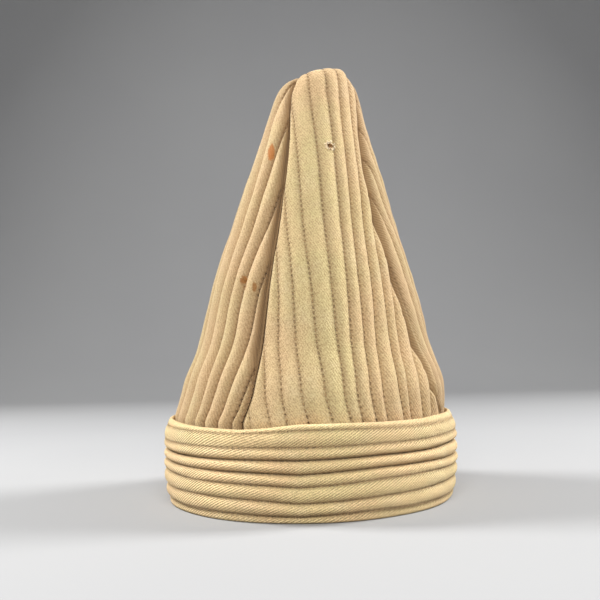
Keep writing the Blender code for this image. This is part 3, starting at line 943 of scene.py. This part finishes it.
def cloth_material(name, look, stains=()):
    """Quilted twill: its yarns, tones, stitch holes and stains, with painted shade in its
    grooves, at its seams, in its stitch holes and between its yarns.
    """
    nodes = Nodes(name)
    space = nodes.object_space()
    ridge = twill(nodes, look["angle"], look["pitch"])
    fleck = nodes.noise("fleck", space)
    line = nodes.value_of("groove")
    from_seam = nodes.value_of("seam")
    beat = nodes.wave(nodes.value_of("beat"))
    stitched = nodes.ramp(from_seam, *STITCHED_FROM)
    on_line = nodes.ramp(line, 0.0, HOLE_REACH, 1.0, 0.0)
    dimple = nodes.times(nodes.times(nodes.ramp(beat, 0.2, -0.6), on_line), stitched)
    colour = channel_colour(nodes, look["shade"], space)
    # Painted shade beside the stitch lines and towards the seams
    colour = groove_and_seam_shade(nodes, colour, look, line, from_seam)
    # Painted shade in the stitch holes, uneven from hole to hole
    holes = nodes.noise("holes", space)
    holes = nodes.ramp(holes, 0.35, 0.62, 0.4 * look["holes"], look["holes"])
    colour = nodes.mix(nodes.times(dimple, holes), colour, STITCH_HOLE_SHADE)
    # Painted shade between the yarns and on one side of each channel, and flecks
    colour = yarn_shade_and_flecks(nodes, colour, look, ridge, fleck)
    for stain in stains:
        colour = stained(nodes, colour, space, *stain)
    soft = nodes.bump(nodes.noise("soft", space), *SOFT_BUMP)
    beside = nodes.ramp(line, NEAR, DRAWN_REACH, 1.0, 0.0)
    drawn = nodes.times(nodes.ramp(beat, -1.0, 1.0), beside)
    drawn = nodes.bump(nodes.times(drawn, stitched), *DRAWN_BUMP, soft)
    holed = nodes.bump(nodes.math("SUBTRACT", 1.0, dimple), *HOLE_BUMP, drawn)
    return nodes.shade({
        "Base Color": colour,
        "Normal": nodes.bump(ridge, look["ridges"], 1.0, holed),
        "Roughness": nodes.ramp(fleck, 0.3, 0.7, *CLOTH_ROUGHNESS),
        "Specular IOR Level": 0.25,
        "Sheen Weight": 0.10,
        "Sheen Roughness": 0.45,
        "Sheen Tint": SHEEN_TINT,
    })


def fibrous_material(name, kind, edges, tints, bump, roughness):
    """Loose cotton: two tints and small bumps, both from one noise."""
    nodes = Nodes(name)
    fibre = nodes.noise(kind, nodes.object_space())
    return nodes.shade({
        "Base Color": nodes.mix(nodes.ramp(fibre, *edges), *tints),
        "Normal": nodes.bump(fibre, *bump),
        "Roughness": roughness,
    })


def thread_material(name, colour):
    """Cotton thread, with darker fibres."""
    darker = tuple(DARKER_FIBRES * v for v in colour[:3]) + (1.0,)
    return fibrous_material(name, "fibre", (0.35, 0.7), (colour, darker), FIBRE_BUMP, 0.8)


def hole_material():
    """The padding that shows in the worn hole, darkened as painted shade."""
    tints = HOLE_PADDING_AND_SHADE
    return fibrous_material("worn_hole_padding_shaded", "padding", (0.3, 0.7), tints, PADDING_BUMP, 1.0)


# Stitches and threads


def tube_faces(first, rings, sides):
    """Faces of a closed tube of rings, whose points start at first."""
    last = first + (rings - 1) * sides
    faces = [tuple(first + j for j in reversed(range(sides)))]
    for a in range(first, last, sides):
        for j in range(sides):
            k = (j + 1) % sides
            faces.append((a + j, a + k, a + sides + k, a + sides + j))
    faces.append(tuple(last + j for j in range(sides)))
    return faces


def thread_piece(name, paths, material, radius=THREAD, sides=5):
    """All the threads along the paths, as one piece of closed tubes."""
    angles = 2 * math.pi * np.arange(sides)[:, None] / sides
    rings, faces = [], []
    for path in paths:
        faces += tube_faces(len(rings) * sides, len(path), sides)
        tangent = unit(np.gradient(path, axis=0))
        helper = (0.0, 0.0, 1.0) if abs(tangent[0, 2]) < 0.8 else (1.0, 0.0, 0.0)
        side = unit(np.cross(tangent, helper))
        other = np.cross(tangent, side)
        reach = np.full(len(path), radius)
        reach[[0, -1]] *= THREAD_END
        for i, spot in enumerate(path):
            rings.append(spot + reach[i] * (np.cos(angles) * side[i] + np.sin(angles) * other[i]))
    return finished(new_mesh_object(name, np.vstack(rings), faces, material))


def stitches_along(points, normals, beats, rng, slant=0.0):
    """Paths of short threads in a stitch line, one for each beat, that dip in at their ends."""
    paths = []
    first = math.ceil(beats[0] - STITCH_ON_TOP / 2 + 0.5)
    last = math.floor(beats[-1] + STITCH_ON_TOP / 2 - 0.5)
    for count in range(first, last):
        size = STITCH_ON_TOP * rng.uniform(*STITCH_SIZES)
        spots = count + 0.5 + size * STITCH_PLACES
        path, normal = (
            np.stack([np.interp(spots, beats, column) for column in rows.T], 1)
            for rows in (points, normals)
        )
        normal = unit(normal)
        sideways = unit(np.cross(normal, path[-1] - path[0]))
        swing = (slant + rng.normal(0, STITCH_SWING)) * STITCH * STITCH_PLACES
        paths.append(path + normal * STITCH_LIFT[:, None] + sideways * swing[:, None])
    return paths


# The gores


def unevenness(waves, seed, u, v):
    """Smooth random heights over the cloth: its dents, small dents and puckers."""
    return [
        height * ripples(seed + number, shortest, longest)(u * across, v * up)
        for number, (height, shortest, longest, across, up) in enumerate(waves, 1)
    ]


def add_gore(name, seed, material, thread):
    """A gore's quilt and its stitches, outside and inside."""
    gore = GORES[name]
    grid = gore_grid(name, seed)
    index, faces, values = merged(grid)
    middle = values["point"]
    normals = vertex_normals(middle, faces)
    half = values["thickness"][:, 0] / 2
    groove = values["groove"][:, 0]
    u, v = values["cloth"].T
    calm = fade(values["seam"][:, 0], SEAM_FADE) * fade(v, END_FADE)
    calm *= fade(CLOTH_TOP - v, END_FADE)
    full = fade(groove, GROOVE_FADE)
    dents, small_dents, puckers = unevenness(GORE_DENTS, seed, u, v)
    dents = dents * full + small_dents * full
    at_line = np.clip(groove / PUCKER_FADE, PUCKER_LEAST, 1)
    puckers *= np.exp(-((groove / PUCKER_WIDTH) ** 2)) * at_line
    pinch = gore["pinch"] * np.exp(-((groove / PINCH_WIDTH) ** 2))
    reach = np.maximum(FULLER * half - FULLER_LESS, LEAST_WALL - half)
    outer = middle + normals * (reach + (dents + puckers - pinch) * calm)[:, None]
    inner = middle - normals * (half + INNER_DENTS * dents * calm)[:, None]
    count = len(middle)
    both = [tuple(f) for f in faces]
    both += [tuple(count + i for i in reversed(f)) for f in faces]
    both += [(b, a, count + a, count + b) for a, b in free_edges(faces)]
    piece = new_mesh_object(name + "_quilt", np.vstack([outer, inner]), both, material)
    spots = np.empty(len(piece.data.loops), dtype=np.int32)
    piece.data.loops.foreach_get("vertex_index", spots)
    add_cloth_map(piece.data, np.vstack([values["cloth"]] * 2)[spots])
    for key in ("groove", "seam", "tone", "beat", "under"):
        add_value(piece.data, key, np.concatenate([values[key][:, 0]] * 2))
    if name == "gore_front":
        near = np.argmin((u - HOLE_ACROSS) ** 2 + (v - HOLE_UP) ** 2)
        wear_hole(piece, Vector(outer[near]), Vector(normals[near]))
    finished(piece)
    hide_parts(name)
    add_gore_stitches(name, seed, grid, index, outer, inner, normals, thread)


def wear_hole(piece, spot, outwards):
    """Cuts a small ragged hole into the outer cloth and sets frayed threads round it."""
    turn = outwards.normalized().to_track_quat("Z", "Y").to_matrix().to_4x4()
    rng = np.random.default_rng(8)
    cutter = hole_cutter(rng)
    cutter.matrix_world = Matrix.Translation(spot) @ turn
    cut = piece.modifiers.new("worn_hole", "BOOLEAN")
    cut.object = cutter
    cut.solver = "EXACT"
    cut.material_mode = "TRANSFER"
    bpy.context.view_layer.update()
    graph = bpy.context.evaluated_depsgraph_get()
    cut_mesh = bpy.data.meshes.new_from_object(piece.evaluated_get(graph), depsgraph=graph)
    piece.modifiers.clear()
    piece.data = cut_mesh
    bpy.data.objects.remove(cutter)
    paths = [
        np.array([tuple(turn @ Vector(point) + spot) for point in frayed_path(rng, count)])
        for count in range(FRAYED_THREADS)
    ]
    cotton = thread_material("frayed_cotton", CREAM)
    thread_piece("frayed_threads", paths, cotton, FRAYED_THREAD, 4)


def hole_cutter(rng):
    """The form of the hole, round its own middle, with z out of the cloth."""
    points = []
    for height, share in HOLE_RINGS:
        for side in range(HOLE_SIDES):
            angle = 2 * math.pi * side / HOLE_SIDES
            ragged = 1 + HOLE_LOBES * math.sin(3 * angle + 1)
            ragged += rng.uniform(-HOLE_RAGGED, HOLE_RAGGED)
            reach = HOLE_SIZE / 2 * share * ragged
            points.append((reach * math.cos(angle), HOLE_STRETCH * reach * math.sin(angle), height))
    faces = tube_faces(0, len(HOLE_RINGS), HOLE_SIDES)
    return new_mesh_object("worn_hole_cutter", points, faces, hole_material())


def frayed_path(rng, count):
    """One frayed thread at the hole's edge. Every fifth thread lies inwards."""
    angle = rng.uniform(0, 2 * math.pi)
    out = HOLE_SIZE / 2 * rng.uniform(*FRAYED_OUT)
    length = rng.uniform(*FRAYED_LENGTH)
    inward = -0.5 if count % 5 == 0 else 1
    swing = angle + rng.uniform(*FRAYED_ASIDE)
    rise = rng.uniform(*FRAYED_RISE)
    path = []
    for share in FRAYED_PLACES:
        x = out * math.cos(angle) + inward * share * length * math.cos(swing)
        y = out * math.sin(angle) + inward * share * length * math.sin(swing)
        arch = math.sin(math.pi * share * FRAYED_ARCH)
        path.append((x, y, FRAYED_LIFT + rise * length * arch))
    return path


def add_gore_stitches(name, seed, grid, index, outer, inner, normals, thread):
    """Stitches along every line of a gore that is clear of the seams."""
    rng = np.random.default_rng(seed + 50)
    lines = len(GORES[name]["before"]) + len(GORES[name]["after"]) + 1
    heights = grid["cloth"][:, 0, 1]
    high_enough = (heights > STITCHED_UP[0]) & (heights < STITCHED_UP[1])
    paths = []
    inside = []
    for line in range(lines):
        column = 1 + (line + 1) * len(PLACES)
        rows = np.where((grid["seam"][:, column] > CLEAR_OF_SEAM) & high_enough)[0]
        if len(rows) < 4:
            continue
        spots = index[rows, column]
        beats = grid["beat"][rows, column]
        paths += stitches_along(outer[spots], normals[spots], beats, rng)
        inside += stitches_along(inner[spots], -normals[spots], beats, rng)
    thread_piece(name + "_stitches", paths, thread)
    thread_piece(name + "_stitches_inside", inside, thread, sides=4)


# The band


def band_wave(line, turn):
    """How far a line of the band rises or falls, by azimuth, in metres."""
    degrees = in_degrees(turn)
    front = np.interp(degrees, BAND_WAVES["azimuth"], BAND_WAVES["offsets"][line])
    away = fade(np.abs(degrees) - BACK_FROM, BACK_FADE)
    back = BACK_WAVE * np.sin(2 * np.radians(degrees) + BACK_SHIFT * line) * away
    return (front + back) / 1000


def band_depths(turn):
    """How far the cloth stands out along each line of the band, at one azimuth."""
    degrees = in_degrees(turn)
    fills = [np.interp(degrees, BAND_FILLS["azimuth"], row) for row in BAND_FILLS["shares"]]
    out = np.array(BAND_LINES["out"])
    return out + (FILLED_OUT - out) * np.array(fills)


def rim_turned(height):
    """How far the cloth near the rim is turned in."""
    heights = (0.0,) + BAND_LINES["height"][:3]
    return RIM_TURN * np.interp(height, heights, RIM_TURNS)


def band_profile(turn):
    """The band's outline at one azimuth: outwards from its inner face, height, and values."""
    lines = np.array([BAND_LINES["height"][i] + band_wave(i, turn) for i in range(BAND_ROWS + 1)])
    top = BAND_HEIGHT + min(0.0, band_wave(BAND_ROWS + 1, turn))
    out = band_depths(turn)
    tones = BAND_LINES["tone"]
    degrees = in_degrees(turn)
    tucked = np.interp(degrees, *TUCKED)
    # Painted shade on the lower part of each channel, most at the front
    shade_share = np.interp(abs(degrees), *BAND_SIDE_SHADE)
    spots = []

    def put(along, height, groove, tone, under=0.0):
        shoulder = tucked * np.interp(height, (TUCKED_FROM, top), (0, 1)) ** 1.5
        if along > 0:
            along = along * (1 - shoulder)
        spots.append((along, height, groove, tone, under))

    foot = HEM_OUT + HEM_WAVE * math.sin(HEM_WAVES * turn)
    for back, height, groove in HEM:
        stretched = height * lines[0] / BAND_LINES["height"][0]
        put(foot - back - rim_turned(height), stretched, groove, tones[0])
    for i in range(BAND_ROWS):
        tall = lines[i + 1] - lines[i]
        base = out[i] + (out[i + 1] - out[i]) * PLACES
        along = base + (BAND_LINES["bulge"][i] - base) * crown(BAND_ROUNDNESS)
        unders = shade_share * np.interp(PLACES, *SIDE_SHADE_FROM_BELOW)
        for place, reach, under in zip(PLACES, along, unders):
            z = lines[i] + place * tall
            put(reach - rim_turned(z), z, min(place, 1 - place) * tall, tones[i + 1], under)
    for share, along, groove in LIP:
        if share < LIP_SIDE:
            along = max(along, out[-1] - LIP_STEP)
        put(along, lines[-1] + share * (top - lines[-1]), groove, tones[-1])
    inner = [(along, top + height) for along, height in TOP_BEND]
    inner += [(-rim_turned(height), height) for height in INNER_HEIGHTS]
    inner += [(along - RIM_TURN, height) for along, height in RIM_BEND]
    for along, height in inner:
        put(along, height, *INSIDE)
    return np.array(spots)


def add_band(material, thread):
    """The band's quilt, a closed ring of outlines, and its stitches."""
    half_width = BAND_WIDTH / 2 - BAND_PADDING
    half_length = BAND_LENGTH / 2 - BAND_PADDING
    turns = np.linspace(0, 2 * math.pi, BAND_AROUND, endpoint=False)
    inner, outwards = oval(half_width, half_length, turns)
    around = distances(np.vstack([inner, inner[:1]]))
    rings = np.array([band_profile(turn) for turn in turns])
    count = rings.shape[1]
    reach, z, groove, tone, under = np.moveaxis(rings, 2, 0)
    outer = np.arange(count) < len(HEM) + BAND_ROWS * len(PLACES) + LIP_OUTSIDE
    u = np.repeat(around[:-1, None], count, 1)
    full = fade(groove, BAND_GROOVE_FADE) * outer * fade(z, RIM_FADE)
    dents, small_dents, puckers = unevenness(BAND_DENTS, 30, u, z)
    puckers *= np.exp(-((groove / BAND_PUCKER_WIDTH) ** 2)) * outer * (groove > 0)
    reach = reach + (dents + small_dents) * full + puckers
    points = np.empty((BAND_AROUND, count, 3))
    points[:, :, :2] = inner[:, None, :] + outwards[:, None, :] * reach[:, :, None]
    points[:, :, 2] = z
    profile = np.array([distances(ring[:, :2]) for ring in rings])
    faces = []
    cloth = []
    for i in range(BAND_AROUND):
        j = (i + 1) % BAND_AROUND
        for k in range(count):
            m = (k + 1) % count
            faces.append((i * count + k, j * count + k, j * count + m, i * count + m))
            high = profile[i, k] + LAST_FACE if m == 0 else profile[i, m]
            cloth += [(around[i], profile[i, k]), (around[i + 1], profile[j, k])]
            cloth += [(around[i + 1], high), (around[i], high)]
    piece = new_mesh_object("head_band_quilt", points.reshape(-1, 3), faces, material)
    add_cloth_map(piece.data, np.array(cloth))
    even = around / around[-1] * round(around[-1] / STITCH)
    corners = np.stack([even[:-1], even[1:], even[1:], even[:-1]], 1)
    add_value(piece.data, "groove", groove)
    add_value(piece.data, "seam", np.full_like(groove, FAR_FROM_SEAM))
    add_value(piece.data, "tone", tone)
    add_value(piece.data, "under", under)
    add_value(piece.data, "beat", np.repeat(corners[:, None, :], count, 1), "CORNER")
    finished(piece)
    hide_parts("head_band")
    rng = np.random.default_rng(77)
    paths = []
    flat = np.column_stack([outwards, np.zeros(BAND_AROUND)])
    closed = np.append(np.arange(BAND_AROUND), 0)
    for line in range(BAND_ROWS + 1):
        column = len(HEM) + line * len(PLACES)
        slant = EDGE_SLANT if line in (0, BAND_ROWS) else 0.0
        paths += stitches_along(points[closed, column], flat[closed], even, rng, slant)
    thread_piece("head_band_stitches", paths, thread, BAND_THREAD)


# The scene

# The camera, for a picture of PICTURE pixels: its focal length and where it aims, in pixels
PICTURE = 600
FOCAL = 899
AIM_LEFT = 6.5
AIM_UP = 55
ROLL = -1.5
SENSOR = 36.0
CAMERA_AT = (0.0, -0.525, 0.079)

# Soft lights: place, what they point at, side, watts
LIGHTS = {
    "softbox_left": ((-1.04, 0.26, 0.95), (0, 0, 0.10), 0.45, 28),
    "softbox_right": ((1.04, 0.26, 0.93), (0, 0, 0.10), 0.45, 26),
    "softbox_front": ((0.0, -1.20, 0.98), (0, 0, 0.12), 0.9, 25),
}
WORLD_TINT = (0.86, 0.88, 0.92, 1.0)
WORLD_STRENGTH = 0.04

# The paper floor, which bends up behind the cap
PAPER_TINTS = ((0.30, 0.30, 0.305, 1.0), (0.33, 0.33, 0.33, 1.0))
PAPER_WIDTH = 6.0
PAPER_FRONT = -3.0
PAPER_BACK = 1.2
PAPER_BEND = 0.6
PAPER_TOP = 3.0
PAPER_STEPS = 12
PAPER_BELOW = 0.0002


def add_camera():
    data = bpy.data.cameras.new("camera")
    data.sensor_width = SENSOR
    data.lens = SENSOR * FOCAL / PICTURE
    data.clip_start = 0.01
    camera = new_object("camera", data)
    camera.location = CAMERA_AT
    turned = Matrix.Rotation(math.atan(AIM_LEFT / FOCAL), 4, "Z")
    tilted = Matrix.Rotation(math.radians(90) + math.atan(AIM_UP / FOCAL), 4, "X")
    rolled = Matrix.Rotation(math.radians(ROLL), 4, "Z")
    camera.rotation_euler = (turned @ tilted @ rolled).to_euler()
    bpy.context.scene.camera = camera


def add_light(name, place, aim, side, energy):
    data = bpy.data.lights.new(name, "AREA")
    data.size = side
    data.energy = energy
    light = new_object(name, data)
    light.location = place
    light.rotation_euler = (Vector(place) - Vector(aim)).to_track_quat("Z", "Y").to_euler()


def add_stage():
    nodes = Nodes("studio_paper")
    soft = nodes.noise("paper", nodes.object_space())
    paper = nodes.shade({"Base Color": nodes.mix(soft, *PAPER_TINTS), "Roughness": 0.9})
    outline = [(PAPER_FRONT, 0.0)]
    for i in range(PAPER_STEPS + 1):
        a = math.pi / 2 * i / PAPER_STEPS
        outline.append((PAPER_BACK + PAPER_BEND * math.sin(a), PAPER_BEND * (1 - math.cos(a))))
    outline.append((PAPER_BACK + PAPER_BEND, PAPER_TOP))
    points = [
        (side * PAPER_WIDTH / 2, y, z - PAPER_BELOW) for y, z in outline for side in (-1, 1)
    ]
    faces = [(2 * i, 2 * i + 1, 2 * i + 3, 2 * i + 2) for i in range(len(outline) - 1)]
    new_mesh_object("studio_floor", points, faces, paper)


def add_world():
    world = bpy.data.worlds.new("studio")
    world.use_nodes = True
    background = world.node_tree.nodes["Background"]
    background.inputs[0].default_value = WORLD_TINT
    background.inputs[1].default_value = WORLD_STRENGTH
    bpy.context.scene.world = world


def main():
    bpy.context.scene.view_settings.view_transform = "Standard"
    add_camera()
    add_stage()
    add_world()
    for name, light in LIGHTS.items():
        add_light(name, *light)
    thread = thread_material("thread", THREAD_TINT)
    materials = {}
    for name, values in LOOKS.items():
        look = dict(zip(LOOK_KEYS, values))
        materials[name] = cloth_material(name + "_twill", look, STAINS.get(name, ()))
    for seed, name in enumerate(GORES):
        add_gore(name, 100 * (seed + 1), materials[name], thread)
    add_band(materials["head_band"], thread_material("band_thread", BAND_THREAD_TINT))


main()
